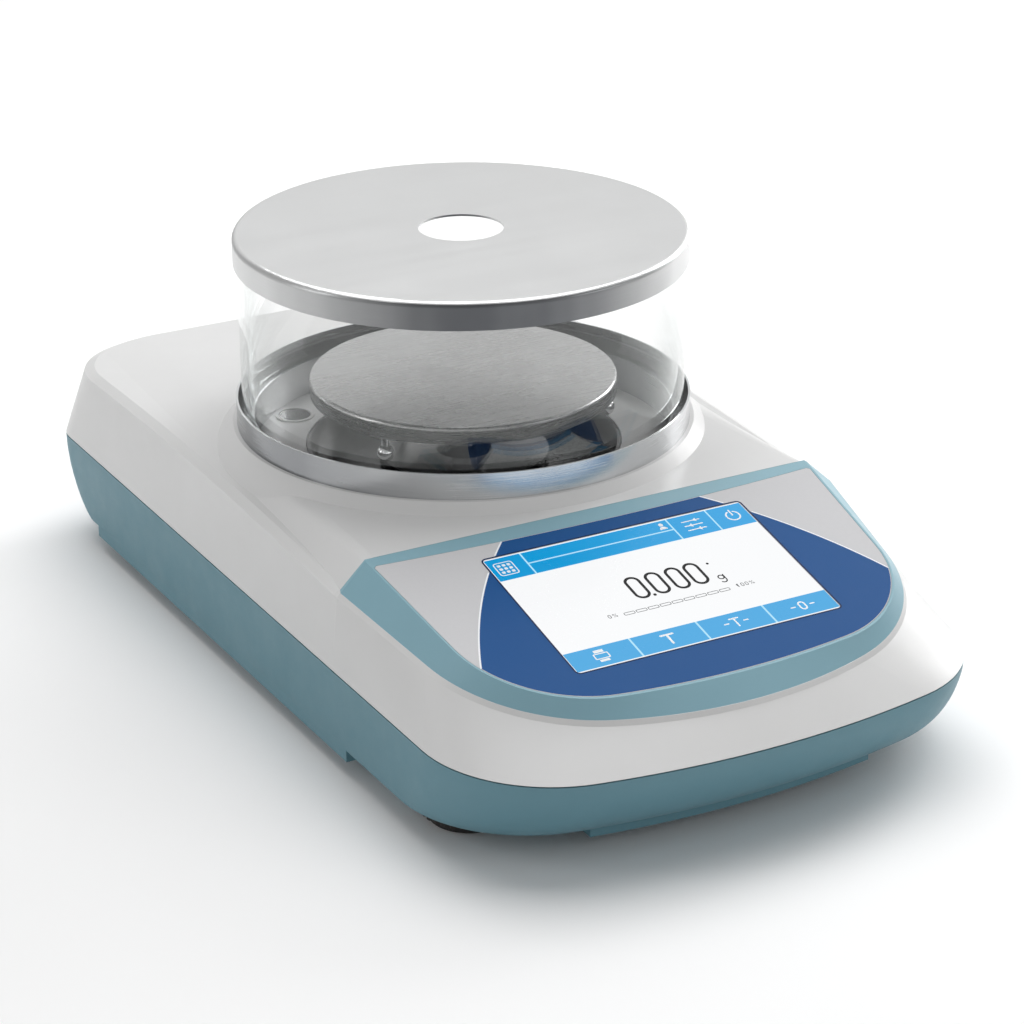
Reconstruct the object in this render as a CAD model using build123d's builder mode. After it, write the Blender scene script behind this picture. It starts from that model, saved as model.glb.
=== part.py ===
"""Round-shield precision balance: tilted touch display, turned steel pan, lift-off glass draft shield."""

import os
from math import cos, radians, sin

from build123d import *

os.makedirs("parts", exist_ok=True)

# ---------------------------------------------------------------- driving dimensions (mm)
# Origin: centre of the footprint on the bench. Front faces -Y, X to the right, Z up.
WIDTH, LENGTH = 215.0, 398.0
FRONT, REAR = -LENGTH / 2, LENGTH / 2
WALL = 2.5
PARTING = 41.0                      # height of the seam between the two casing halves
SEAM = 0.25                         # half of the gap left at the seam
SEAM_TILT = 0.57                    # degrees, the seam rises towards the rear
BOW_RADIUS = 333.0                  # bowed front
FRONT_CORNER, REAR_CORNER = 50.0, 18.0

# roof of the casing: a shallow arc along Y
ROOF_PEAK, ROOF_PEAK_Y, ROOF_RADIUS = 78.0, 110.0, 2430.0
RIM_WIDTH, RIM_DROP = 3.6, 2.0      # bevelled strip round the roof
SHELL_RISE, SHELL_LEAN = 50.0, 3.5  # the walls lean in this much over this height
ROOF_CORNER = 52.0                  # rear corners at that height

# weighing station
STATION = (0.0, 27.0)               # axis of pan and draft shield
PLATFORM_TOP = 85.0
WELL_RADIUS, WELL_FLOOR = 83.1, 74.0
DISH_RADIUS, DISH_FLOOR = 61.0, 63.0
HUB_RADIUS, HUB_TOP = 33.5, 70.0
RING_RADIUS, RING_HEIGHT = 88.9, 10.3
GLASS_OUTER, GLASS_INNER = 86.6, 84.0
LID_RADIUS, LID_TOP, LID_BAND, LID_HOLE = 88.0, 161.3, 10.7, 16.5
PAN_RADIUS, PAN_TOP, PAN_BAND = 60.3, 102.1, 6.6
SHEET = 0.8                         # steel sheet of lid and ring
STUD_CIRCLE, BALL_RADIUS, BALL_HEIGHT = 56.0, 3.4, 87.5
STUD_ANGLES = (-30, 90, 210)

# display panel: label plane and the lower plane in which the bezel meets the casing
PANEL_SLOPE = 0.23
PANEL_ORIGIN = (0.0, -88.7, 77.5)
BEZEL_BACK = -73.2                  # rear edge of the bezel
BEZEL_FIT = 0.15                    # clearance round the bezel and the label
BEZEL_SLOPE = 0.19
BEZEL_ORIGIN = (0.0, -84.0, 69.5)
LIP = 1.4                           # softened edge of the casing round the bezel
LABEL_BACK = -78.0                  # rear corners of the label
LABEL_SAG, LABEL_SAG_RADIUS = 2.8, 1496.0   # hollow of its rear edge
SCREEN_W, SCREEN_H = 107.4, 69.0
SCREEN_FRONT = -155.95
LABEL_THICK = 0.5

# levelling feet
FEET = {
    "front_left": (-80, -125), "front_right": (80, -125),
    "rear_left": (-80, 150), "rear_right": (80, 150),
}
WHEEL_RADIUS, WHEEL_BOTTOM, WHEEL_TOP = 18.0, 2.9, 9.6
STUD_RADIUS = 4.0
RUNNING_FIT = 0.1

BOTTOM = 11.0                       # underside of the tray
PLINTH = 6.5                        # underside of the plinths

# casing screws: place and height of the boss above the seam
BOSS_FRONT_TOP = 54.5
BOSSES = [
    ((-90, 176), 73), ((90, 176), 73), ((-97, -52), 69), ((97, -52), 69),
    ((-62, -156), BOSS_FRONT_TOP), ((62, -156), BOSS_FRONT_TOP),
]
BOSS_RADIUS, PILOT_RADIUS, SCREW_RADIUS = 4.5, 1.6, 1.5

# how a piece sits on the point it is placed at
UPWARD = (Align.CENTER, Align.CENTER, Align.MIN)
DOWNWARD = (Align.CENTER, Align.CENTER, Align.MAX)
BEHIND_FACE = (Align.CENTER, Align.MAX, Align.MIN)

seam_normal = (0, -sin(radians(SEAM_TILT)), cos(radians(SEAM_TILT)))
seam_plane = Plane((0, 0, PARTING), x_dir=(1, 0, 0), z_dir=seam_normal)
panel_plane = Plane(PANEL_ORIGIN, x_dir=(1, 0, 0), z_dir=(0, -PANEL_SLOPE, 1))
bezel_plane = Plane(BEZEL_ORIGIN, x_dir=(1, 0, 0), z_dir=(0, -BEZEL_SLOPE, 1))


def save(part, name):
    """Label a finished piece and write it to its own file."""
    part.label = name
    export_step(part, f"parts/{name}.step")


def along_panel(y):
    """Local y in the label plane of a point at height y of the plan."""
    return (y - PANEL_ORIGIN[1]) * (1 + PANEL_SLOPE**2) ** 0.5


def along_bezel(y):
    """Local y in the bezel's lower plane of a point at y of the plan."""
    return (y - BEZEL_ORIGIN[1]) * (1 + BEZEL_SLOPE**2) ** 0.5


# ---------------------------------------------------------------- outlines
def plan(plane, tuck, side):
    """Casing outline in plan, drawn in at the ends and the sides: straight sides, bowed front."""
    with BuildSketch(plane) as outline:
        Rectangle(WIDTH - 2 * side, LENGTH - 2 * tuck)
        with Locations((0, FRONT + tuck + BOW_RADIUS)):
            Circle(BOW_RADIUS, mode=Mode.INTERSECT)
        fillet(outline.vertices().group_by(Axis.Y)[0], FRONT_CORNER)
        fillet(outline.vertices().group_by(Axis.Y)[-1], REAR_CORNER - side)
    return outline.sketch


def rear_plan(plane, side, rear, corner):
    """Rear stretch of the upper casing in plan, with round rear corners."""
    front = BEZEL_BACK - 3
    with BuildSketch(plane) as outline:
        with Locations((0, (REAR - rear + front) / 2)):
            Rectangle(WIDTH - 2 * side, REAR - rear - front)
        fillet(outline.vertices().group_by(Axis.Y)[-1], corner)
    return outline.sketch


def d_shape(plane, local_y, top, corner, foot, nose, corner_radius, bow, grow=0.0):
    """D-shaped outline: straight top edge, raked sides, round lower corners, bowed nose."""
    with BuildSketch(plane) as outline:
        with BuildLine():
            right = [(x, local_y(y)) for x, y in (top, corner, foot)]
            left = [(-x, y) for x, y in reversed(right)]
            Polyline(*right, *left, close=True)
        make_face()
        with Locations((0, local_y(nose) + bow)):
            Circle(bow, mode=Mode.INTERSECT)
        fillet(outline.vertices().group_by(Axis.Y)[0], corner_radius)
        if grow:
            offset(amount=grow, kind=Kind.INTERSECTION)
    return outline.sketch


def seam_front(plane, grow=0.0):
    """Front stretch of the casing outline at the seam."""
    side, back = WIDTH / 2, BEZEL_BACK + 1
    corners = (side - 0.1, back), (side, back - 1), (side, FRONT - 20)
    return d_shape(plane, float, *corners, FRONT, FRONT_CORNER, BOW_RADIUS, grow)


def bezel_top_outline():
    """Upper outline of the bezel, in the label plane."""
    corners = (93.6, BEZEL_BACK), (94.0, BEZEL_BACK - 1), (83.4, -185)
    return d_shape(panel_plane, along_panel, *corners, -175.7, 49, 341)


def bezel_foot_outline(grow=0.0, drop=0.0):
    """Lower outline of the bezel, where it meets the casing."""
    corners = (103.6, BEZEL_BACK), (104.4, BEZEL_BACK - 2), (84.5, -195)
    return d_shape(bezel_plane.offset(-drop), along_bezel, *corners, -183.7, 64.8, 173.7, grow)


def label_outline(grow=0.0):
    """Outline of the front label: its top edge is slightly hollow."""
    corners = (91.5, LABEL_BACK), (92.5, LABEL_BACK - 1), (83.2, -180)
    with BuildSketch(panel_plane) as outline:
        add(d_shape(Plane.XY, along_panel, *corners, -174.5, 48, 340, grow))
        with Locations((0, along_panel(LABEL_BACK) + grow - LABEL_SAG + LABEL_SAG_RADIUS)):
            Circle(LABEL_SAG_RADIUS, mode=Mode.SUBTRACT)
    return outline.sketch


def roof_height(y):
    """Height of the roof arc at y."""
    return ROOF_PEAK - ROOF_RADIUS + (ROOF_RADIUS**2 - (y - ROOF_PEAK_Y) ** 2) ** 0.5


def roof_profile(drop=0.0):
    """Side view of everything below the roof, lowered by drop."""
    ends = [(y, roof_height(y) - drop) for y in (REAR + 1, ROOF_PEAK_Y, FRONT - 1)]
    with BuildSketch(Plane.YZ) as side:
        with BuildLine():
            ThreePointArc(*ends)
            Polyline(ends[-1], (FRONT - 1, 10), (REAR + 1, 10), ends[0])
        make_face()
    return side.sketch


def deck_section(y, half_top, crest, half_foot, crest_radius):
    """Cross-section of the raised deck at one station along Y, with softened crests."""
    shoulder = roof_height(y) - 0.3
    with BuildSketch(Plane.XZ.offset(-y)) as section:
        with BuildLine():
            Polyline((-half_foot, 52), (half_foot, 52), (half_foot, shoulder), (half_top, crest),
                     (-half_top, crest), (-half_foot, shoulder), close=True)
        make_face()
        fillet(section.vertices().group_by(Axis.Y)[-1], crest_radius)
    return section.sketch


# ---------------------------------------------------------------- upper casing
screen_mid = along_panel((PANEL_ORIGIN[1] + SCREEN_FRONT) / 2)
MODULE_W, MODULE_H, MODULE_T = 120.0, 78.0, 4.0
LEDGE = 2.3                         # bezel left in front of the display module

# opening for the display module through the casing under the bezel
with BuildPart() as module_opening:
    with BuildSketch(panel_plane.offset(1)) as clear_outline:
        with Locations((0, screen_mid)):
            Rectangle(MODULE_W + 2, MODULE_H + 2)
    extrude(clear_outline.sketch, amount=-22)

with BuildPart() as bezel_pocket:
    extrude(bezel_foot_outline(grow=BEZEL_FIT), amount=40, dir=(0, 0, 1))

with BuildPart() as pocket_core:
    extrude(bezel_foot_outline(grow=WALL, drop=WALL), amount=40, dir=(0, 0, 1))

with BuildPart() as deck:
    loft([
        deck_section(193, 70, 77.1, 97.5, 60),
        deck_section(100, 76, 79.6, 98.0, 60),
        deck_section(20, 88, 80.3, 98.6, 20),
        deck_section(-40, 91.5, 80.8, 100.5, 10),
        deck_section(-90, 94, 81.2, 104.6, 6),
    ])
    extrude(rear_plan(Plane.XY.offset(50), 3, 7, 44), amount=40, mode=Mode.INTERSECT)

with BuildPart() as rear_shell:
    loft([
        rear_plan(seam_plane.offset(SEAM), 0, 0, REAR_CORNER),
        rear_plan(seam_plane.offset(SHELL_RISE), SHELL_LEAN, SHELL_LEAN, ROOF_CORNER),
    ], ruled=True)
    extrude(roof_profile(), amount=WIDTH, both=True, mode=Mode.INTERSECT)
    roof = rear_shell.faces().sort_by(Axis.Z)[-1]
    chamfer(roof.edges().sort_by(Axis.Y)[1:], RIM_WIDTH, RIM_DROP, reference=roof)

with BuildPart() as front_shell:
    loft([
        seam_front(seam_plane.offset(SEAM)),
        bezel_foot_outline(grow=LIP, drop=LIP + 0.3),
        bezel_foot_outline(grow=BEZEL_FIT),
    ], ruled=True)

with BuildPart() as cavity:
    loft([
        rear_plan(seam_plane.offset(-1), WALL, WALL, REAR_CORNER - WALL),
        rear_plan(seam_plane.offset(SHELL_RISE), SHELL_LEAN + WALL, SHELL_LEAN + WALL, ROOF_CORNER - WALL),
    ], ruled=True)
    extrude(roof_profile(drop=5.8), amount=WIDTH, both=True, mode=Mode.INTERSECT)
    loft([
        seam_front(seam_plane.offset(-1), -WALL),
        bezel_foot_outline(grow=-0.8, drop=WALL),
    ], ruled=True)
    with Locations((STATION[0], 60, 60)):
        Box(170, 236, 32)
    add(pocket_core.part, mode=Mode.SUBTRACT)
    with Locations((*STATION, WELL_FLOOR - WALL + 25)):
        Cylinder(WELL_RADIUS + WALL, 50, mode=Mode.SUBTRACT)

VIAL_ANGLE, VIAL_CIRCLE = radians(130), 73.3
VIAL_RADIUS, VIAL_HEIGHT, VIAL_BASE = 6.5, 5.8, WELL_FLOOR - 6.5
vial_at = (STATION[0] + VIAL_CIRCLE * cos(VIAL_ANGLE), STATION[1] + VIAL_CIRCLE * sin(VIAL_ANGLE))

with BuildPart() as upper_casing:
    add(rear_shell.part)
    add(front_shell.part)
    add(deck.part)
    with Locations((*STATION, PLATFORM_TOP - 12)):
        Cone(RING_RADIUS + 1.6 + 12, RING_RADIUS + 1.6, 12, align=UPWARD)
    add(bezel_pocket.part, mode=Mode.SUBTRACT)
    add(cavity.part, mode=Mode.SUBTRACT)
    for (x, y), top in BOSSES:
        with Locations((x, y, PARTING + 1)):
            Cylinder(BOSS_RADIUS, top - PARTING - 1, align=UPWARD)
    with Locations((*STATION, WELL_FLOOR + 25)):
        Cylinder(WELL_RADIUS, 50, mode=Mode.SUBTRACT)
    with Locations((*STATION, 50)):
        Cylinder(DISH_RADIUS + 1.3, 60, mode=Mode.SUBTRACT)
    with Locations((*vial_at, VIAL_BASE - 2)):
        Cylinder(VIAL_RADIUS + 1.4, WELL_FLOOR + 0.5 - VIAL_BASE + 2, align=UPWARD)
    with Locations((*vial_at, VIAL_BASE)):
        Cylinder(VIAL_RADIUS + 0.05, 10, align=UPWARD, mode=Mode.SUBTRACT)
    for (x, y), top in BOSSES:
        with Locations((x, y, PARTING - 2)):
            Cylinder(PILOT_RADIUS, top - PARTING - 4, align=UPWARD, mode=Mode.SUBTRACT)
    with Locations((0, REAR, 57)):
        Box(120, 12, 20, mode=Mode.SUBTRACT)
    add(module_opening.part, mode=Mode.SUBTRACT)
save(upper_casing.part, "upper_casing")

# ---------------------------------------------------------------- lower casing
def bowl(thickness=0.0):
    """Tray body under the seam, tucked in at the front and rear towards its underside."""
    with BuildPart() as body:
        loft([
            plan(seam_plane.offset(-SEAM + thickness), thickness, thickness),
            plan(Plane.XY.offset(30), 2.4 + thickness, 0.2 + thickness),
            plan(Plane.XY.offset(20 + thickness / 2), 8.5 + thickness, 0.6 + thickness),
            plan(Plane.XY.offset(14 + thickness), 15 + thickness, 0.9 + thickness),
            plan(Plane.XY.offset(BOTTOM + thickness), 20.5 + thickness, 1.2 + thickness),
        ])
    return body.part


with BuildPart() as lower_casing:
    add(bowl())
    for side in (-1, 1):
        with Locations((side * 102.8, 38, PLINTH)):
            Box(7.2, 236, 14, align=UPWARD)
    with BuildSketch(Plane.XY.offset(PLINTH)):
        with Locations((0, FRONT + 22.5 + BOW_RADIUS)):
            Circle(BOW_RADIUS)
        with Locations((0, FRONT + 30 + BOW_RADIUS)):
            Circle(BOW_RADIUS, mode=Mode.SUBTRACT)
        with Locations((0, FRONT)):
            Rectangle(116, 80, mode=Mode.INTERSECT)
    extrude(amount=8)
    add(bowl(WALL), mode=Mode.SUBTRACT)
    for x, y in FEET.values():
        with Locations((x, y, BOTTOM)):
            Cylinder(8, 14, align=UPWARD)
    for (x, y), _ in BOSSES:
        with Locations((x, y, BOTTOM)):
            Cylinder(BOSS_RADIUS, PARTING - BOTTOM - 1, align=UPWARD)
    with Locations((0, 40, BOTTOM + 1)):
        with GridLocations(100, 150, 2, 2):
            Cylinder(6, 4, align=UPWARD)
    for x, y in FEET.values():
        with Locations((x, y, BOTTOM - 1)):
            Cylinder(STUD_RADIUS + RUNNING_FIT, 20, align=UPWARD, mode=Mode.SUBTRACT)
    for (x, y), _ in BOSSES:
        with Locations((x, y, BOTTOM - 1)):
            Cylinder(PILOT_RADIUS, 40, align=UPWARD, mode=Mode.SUBTRACT)
            Cylinder(3.4, 7, align=UPWARD, mode=Mode.SUBTRACT)
    with Locations((0, 40, BOTTOM - 1)):
        with GridLocations(100, 150, 2, 2):
            Cylinder(1.6, 12, align=UPWARD, mode=Mode.SUBTRACT)
    with BuildSketch(Plane.XY.offset(BOTTOM)):
        with Locations((0, -100)):
            with GridLocations(12, 1, 8, 1):
                SlotOverall(40, 4, rotation=90)
    extrude(amount=8, both=True, mode=Mode.SUBTRACT)
save(lower_casing.part, "lower_casing")

# ---------------------------------------------------------------- display
with BuildPart() as display_bezel:
    loft([bezel_foot_outline(), bezel_top_outline()], ruled=True)
    extrude(label_outline(grow=BEZEL_FIT), amount=-LABEL_THICK, mode=Mode.SUBTRACT)
    with BuildSketch(panel_plane) as window:
        with Locations((0, screen_mid)):
            Rectangle(SCREEN_W + 1.4, SCREEN_H + 1.4)
    extrude(window.sketch, amount=-14, mode=Mode.SUBTRACT)
    with BuildSketch(panel_plane.offset(-LEDGE)) as module_pocket:
        with Locations((0, screen_mid)):
            Rectangle(MODULE_W + 1, MODULE_H + 1)
    extrude(module_pocket.sketch, amount=-14, mode=Mode.SUBTRACT)
save(display_bezel.part, "display_bezel")

with BuildPart() as front_label:
    extrude(label_outline(), amount=-LABEL_THICK)
    extrude(window.sketch, amount=-2, mode=Mode.SUBTRACT)
save(front_label.part, "front_label")

with BuildPart() as touch_glass:
    with BuildSketch(panel_plane.offset(-LEDGE)) as glass_outline:
        with Locations((0, screen_mid)):
            Rectangle(SCREEN_W + 1.0, SCREEN_H + 1.0)
    extrude(glass_outline.sketch, amount=LEDGE - 0.1)
save(touch_glass.part, "touch_glass")

with BuildPart() as lcd_module:
    with BuildSketch(panel_plane.offset(-LEDGE - MODULE_T)) as module_outline:
        with Locations((0, screen_mid)):
            Rectangle(MODULE_W, MODULE_H)
    extrude(module_outline.sketch, amount=MODULE_T)
save(lcd_module.part, "lcd_module")

BOARD_DROP = LEDGE + MODULE_T + 4
with BuildPart() as display_board:
    with BuildSketch(panel_plane.offset(-BOARD_DROP - 1.6)) as board_outline:
        with Locations((0, screen_mid)):
            Rectangle(112, 70)
            with GridLocations(104, 62, 2, 2):
                Circle(1.6, mode=Mode.SUBTRACT)
    extrude(board_outline.sketch, amount=1.6)
    with BuildSketch(panel_plane.offset(-BOARD_DROP - 3.4)) as chips:
        with Locations((-18, screen_mid + 6), (24, screen_mid - 8)):
            Rectangle(20, 20)
    extrude(chips.sketch, amount=1.8)
save(display_board.part, "display_board")

with BuildPart() as display_screws:
    with BuildSketch(panel_plane.offset(-BOARD_DROP)) as spacers:
        with Locations((0, screen_mid)):
            with GridLocations(104, 62, 2, 2):
                Circle(3)
    extrude(spacers.sketch, amount=4)
    with BuildSketch(panel_plane.offset(-BOARD_DROP - 1.6)) as heads:
        with Locations((0, screen_mid)):
            with GridLocations(104, 62, 2, 2):
                Circle(2.8)
    extrude(heads.sketch, amount=-2)
    with BuildSketch(panel_plane.offset(-BOARD_DROP - 1.6)) as shanks:
        with Locations((0, screen_mid)):
            with GridLocations(104, 62, 2, 2):
                Circle(1.5)
    extrude(shanks.sketch, amount=1.6)
save(display_screws.part, "display_screws")

# ---------------------------------------------------------------- draft shield
with BuildPart() as shield_ring:
    with BuildSketch(Plane.XZ.offset(-STATION[1])):
        with BuildLine():
            inner, base = WELL_RADIUS - 0.3, PLATFORM_TOP
            Polyline((inner, WELL_FLOOR + 0.2), (inner, base), (RING_RADIUS, base),
                     (RING_RADIUS, base + RING_HEIGHT), (RING_RADIUS - SHEET, base + RING_HEIGHT),
                     (RING_RADIUS - SHEET, base + SHEET), (inner, base + SHEET), (inner, base + 3),
                     (inner - SHEET, base + 3), (inner - SHEET, WELL_FLOOR + 0.2), close=True)
        make_face()
    revolve(axis=Axis((*STATION, 0), (0, 0, 1)))
save(shield_ring.part, "shield_ring")

with BuildPart() as shield_glass:
    with BuildSketch(Plane.XY.offset(PLATFORM_TOP + SHEET)):
        with Locations(STATION):
            Circle(GLASS_OUTER)
            Circle(GLASS_INNER, mode=Mode.SUBTRACT)
    extrude(amount=LID_TOP - SHEET - PLATFORM_TOP - SHEET)
    chamfer(shield_glass.faces().sort_by(Axis.Z)[-1].edges(), 0.8)
save(shield_glass.part, "shield_glass")

with BuildPart() as glass_seal:
    with BuildSketch(Plane.XY.offset(PLATFORM_TOP + SHEET)):
        with Locations(STATION):
            Circle(RING_RADIUS - SHEET)
            Circle(GLASS_OUTER, mode=Mode.SUBTRACT)
    extrude(amount=6)
save(glass_seal.part, "glass_seal")

with BuildPart() as shield_lid:
    with Locations((*STATION, LID_TOP - LID_BAND)):
        Cylinder(LID_RADIUS, LID_BAND, align=UPWARD)
    fillet(shield_lid.faces().sort_by(Axis.Z)[-1].edges(), 2.2)
    offset(amount=-SHEET, openings=shield_lid.faces().sort_by(Axis.Z)[0])
    with Locations((*STATION, LID_TOP)):
        Cylinder(LID_HOLE, 10, mode=Mode.SUBTRACT)
save(shield_lid.part, "shield_lid")

# ---------------------------------------------------------------- pan and its support
SPIGOT_TOP = 93.6
with BuildPart() as weighing_pan:
    with Locations((*STATION, PAN_TOP - PAN_BAND)):
        Cylinder(PAN_RADIUS, PAN_BAND, align=UPWARD)
    fillet(weighing_pan.faces().sort_by(Axis.Z)[-1].edges(), 1.4)
    offset(amount=-1, openings=weighing_pan.faces().sort_by(Axis.Z)[0])
save(weighing_pan.part, "weighing_pan")

with BuildPart() as pan_support:
    with BuildSketch(Plane.XY.offset(94)):
        with Locations(STATION):
            Circle(13)
            for angle in STUD_ANGLES:
                with PolarLocations(29, 1, start_angle=angle):
                    Rectangle(58, 11)
            with PolarLocations(STUD_CIRCLE, 3, start_angle=STUD_ANGLES[0]):
                Circle(1.5, mode=Mode.SUBTRACT)
    extrude(amount=3)
    with Locations((*STATION, 78)):
        Cylinder(8, 18, align=UPWARD)
    with Locations((*STATION, 77)):
        Cylinder(5 + 0.08, SPIGOT_TOP + 0.3 - 77, align=UPWARD, mode=Mode.SUBTRACT)
save(pan_support.part, "pan_support")

with BuildPart() as pan_cushions:
    with BuildSketch(Plane.XY.offset(97)):
        with Locations(STATION):
            with PolarLocations(42, 3, start_angle=STUD_ANGLES[0]):
                Circle(4)
    extrude(amount=PAN_TOP - 1 - 97)
save(pan_cushions.part, "pan_cushions")

with BuildPart() as ball_studs:
    with Locations((*STATION, BALL_HEIGHT)):
        with PolarLocations(STUD_CIRCLE, 3, start_angle=STUD_ANGLES[0]):
            Sphere(BALL_RADIUS)
            Cylinder(1.5, 97 - BALL_HEIGHT, align=UPWARD)
    with BuildSketch(Plane.XY.offset(97)):
        with Locations(STATION):
            with PolarLocations(STUD_CIRCLE, 3, start_angle=STUD_ANGLES[0]):
                RegularPolygon(2.6, 6)
    extrude(amount=2)
save(ball_studs.part, "ball_studs")

# ---------------------------------------------------------------- dish under the pan and level vial
with BuildPart() as pan_dish:
    with Locations((*STATION, DISH_FLOOR - 2)):
        Cylinder(DISH_RADIUS + 1, WELL_FLOOR - 0.3 - DISH_FLOOR + 2, align=UPWARD)
    with Locations((*STATION, DISH_FLOOR - 2)):
        Cylinder(DISH_RADIUS + 4, WELL_FLOOR - WALL - DISH_FLOOR + 2, align=UPWARD)
    with Locations((*STATION, DISH_FLOOR)):
        Cylinder(DISH_RADIUS - 0.5, 20, align=UPWARD, mode=Mode.SUBTRACT)
    with Locations((*STATION, DISH_FLOOR)):
        Cylinder(HUB_RADIUS, HUB_TOP - DISH_FLOOR, align=UPWARD)
    fillet(pan_dish.edges().filter_by(GeomType.CIRCLE).group_by(Axis.Z)[-2].sort_by(Edge.length)[-1], 0.8)
    with Locations((*STATION, DISH_FLOOR)):
        Cylinder(11, 20, mode=Mode.SUBTRACT)
save(pan_dish.part, "pan_dish")

with BuildPart() as level_vial:
    with Locations((*vial_at, VIAL_BASE)):
        Cylinder(VIAL_RADIUS, VIAL_HEIGHT, align=UPWARD)
save(level_vial.part, "level_vial")

with BuildPart() as vial_lens:
    with Locations((*vial_at, VIAL_BASE + VIAL_HEIGHT)):
        Cylinder(VIAL_RADIUS - 0.3, 1.0, align=UPWARD)
save(vial_lens.part, "vial_lens")

# ---------------------------------------------------------------- weigh cell
CHASSIS_BOTTOM, CHASSIS_TOP = 16.0, 22.0
BEAM_Z, PIVOT_Y, COIL_Y = 44.0, 45.0, 92.0
with BuildPart() as chassis_plate:
    with BuildSketch(Plane.XY.offset(CHASSIS_BOTTOM)):
        with Locations((0, 40)):
            RectangleRounded(124, 176, 8)
            with GridLocations(100, 150, 2, 2):
                Circle(2.1, mode=Mode.SUBTRACT)
        with Locations((0, 60)):
            with GridLocations(50, 100, 2, 2):
                Circle(1.6, mode=Mode.SUBTRACT)
    extrude(amount=CHASSIS_TOP - CHASSIS_BOTTOM)
save(chassis_plate.part, "chassis_plate")

with BuildPart() as chassis_screws:
    with Locations((0, 40, CHASSIS_TOP)):
        with GridLocations(100, 150, 2, 2):
            Cylinder(3.5, 2.5, align=UPWARD)
            Cylinder(1.5, 10.5, align=DOWNWARD)
save(chassis_screws.part, "chassis_screws")

with BuildPart() as cell_frame:
    with Locations((0, 60, CHASSIS_TOP)):
        Box(64, 116, 6, align=UPWARD)
    for side in (-1, 1):
        with Locations((side * 14, PIVOT_Y, CHASSIS_TOP)):
            Box(8, 14, BEAM_Z + 5 - CHASSIS_TOP, align=UPWARD)
    with Locations((0, PIVOT_Y, BEAM_Z)):
        Cylinder(2.0, 60, rotation=(0, 90, 0), mode=Mode.SUBTRACT)
    with Locations((0, 60, CHASSIS_TOP - 1)):
        with GridLocations(50, 100, 2, 2):
            Cylinder(1.6, 8, align=UPWARD, mode=Mode.SUBTRACT)
save(cell_frame.part, "cell_frame")

with BuildPart() as cell_screws:
    with Locations((0, 60, CHASSIS_TOP + 6)):
        with GridLocations(50, 100, 2, 2):
            Cylinder(3, 3, align=UPWARD)
            Cylinder(1.5, 11, align=DOWNWARD)
save(cell_screws.part, "cell_screws")

with BuildPart() as beam_pivot_pin:
    with Locations((0, PIVOT_Y, BEAM_Z)):
        Cylinder(2.0, 36, rotation=(0, 90, 0))
save(beam_pivot_pin.part, "beam_pivot_pin")

with BuildPart() as magnet_pot:
    with BuildSketch(Plane.XY.offset(CHASSIS_TOP + 6)):
        with Locations((0, COIL_Y)):
            Circle(22)
    extrude(amount=3)
    with BuildSketch(Plane.XY.offset(CHASSIS_TOP + 9)):
        with Locations((0, COIL_Y)):
            Circle(22)
            Circle(17, mode=Mode.SUBTRACT)
            Circle(8.5)
    extrude(amount=8)
save(magnet_pot.part, "magnet_pot")

with BuildPart() as force_beam:
    with Locations((0, (25 + COIL_Y + 8) / 2, BEAM_Z)):
        Box(10, COIL_Y + 8 - 25, 6)
    with Locations((0, PIVOT_Y, BEAM_Z)):
        Cylinder(2.0 + 0.06, 20, rotation=(0, 90, 0), mode=Mode.SUBTRACT)
save(force_beam.part, "force_beam")

with BuildPart() as force_coil:
    with BuildSketch(Plane.XY.offset(BEAM_Z - 3)):
        with Locations((0, COIL_Y)):
            Circle(15)
            Circle(10.5, mode=Mode.SUBTRACT)
    extrude(amount=-8)
save(force_coil.part, "force_coil")

with BuildPart() as load_spigot:
    with Locations((STATION[0], STATION[1] - 4, 32)):
        Box(22, 22, 26, align=UPWARD)
    with Locations((STATION[0], STATION[1] + 3, BEAM_Z)):
        Box(13, 12, 11, mode=Mode.SUBTRACT)
    with Locations((*STATION, 58)):
        Cylinder(5, SPIGOT_TOP - 58, align=UPWARD)
    chamfer(load_spigot.faces().sort_by(Axis.Z)[-1].edges(), 0.8)
save(load_spigot.part, "load_spigot")

# ---------------------------------------------------------------- electronics and rear sockets
REAR_BOARD_Z, BOARD_Y = 46.0, 157.0
with BuildPart() as main_board:
    with BuildSketch(Plane.XY.offset(REAR_BOARD_Z)):
        with Locations((0, BOARD_Y)):
            Rectangle(124, 44)
            with GridLocations(112, 30, 2, 2):
                Circle(1.6, mode=Mode.SUBTRACT)
    extrude(amount=1.6)
    with Locations((-24, 150, REAR_BOARD_Z + 1.6), (18, 148, REAR_BOARD_Z + 1.6)):
        Box(14, 14, 2, align=UPWARD)
save(main_board.part, "main_board")

with BuildPart() as board_standoffs:
    with Locations((0, BOARD_Y, BOTTOM + WALL)):
        with GridLocations(112, 30, 2, 2):
            Cylinder(3, REAR_BOARD_Z - BOTTOM - WALL, align=UPWARD)
    with Locations((0, BOARD_Y, REAR_BOARD_Z + 1.6)):
        with GridLocations(112, 30, 2, 2):
            Cylinder(2.8, 2, align=UPWARD)
            Cylinder(1.5, 1.6, align=DOWNWARD)
save(board_standoffs.part, "board_standoffs")

SOCKETS = {"serial_port": (-32, 31.0, 12.5), "usb_port": (6, 12.0, 11.0), "power_inlet": (38, 12.0, 11.0)}
SOCKET_BASE, SOCKET_FACE = REAR_BOARD_Z + 1.6, REAR - 3.2
with BuildPart() as rear_panel:
    with BuildSketch(Plane.XZ.offset(-(REAR - 4.7))):
        with Locations((0, 57)):
            Rectangle(124, 21)
        for x, width, height in SOCKETS.values():
            with Locations((x, SOCKET_BASE + height / 2)):
                Rectangle(width + 0.4, height + 0.4, mode=Mode.SUBTRACT)
    extrude(amount=1.6)
save(rear_panel.part, "rear_panel")

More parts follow.
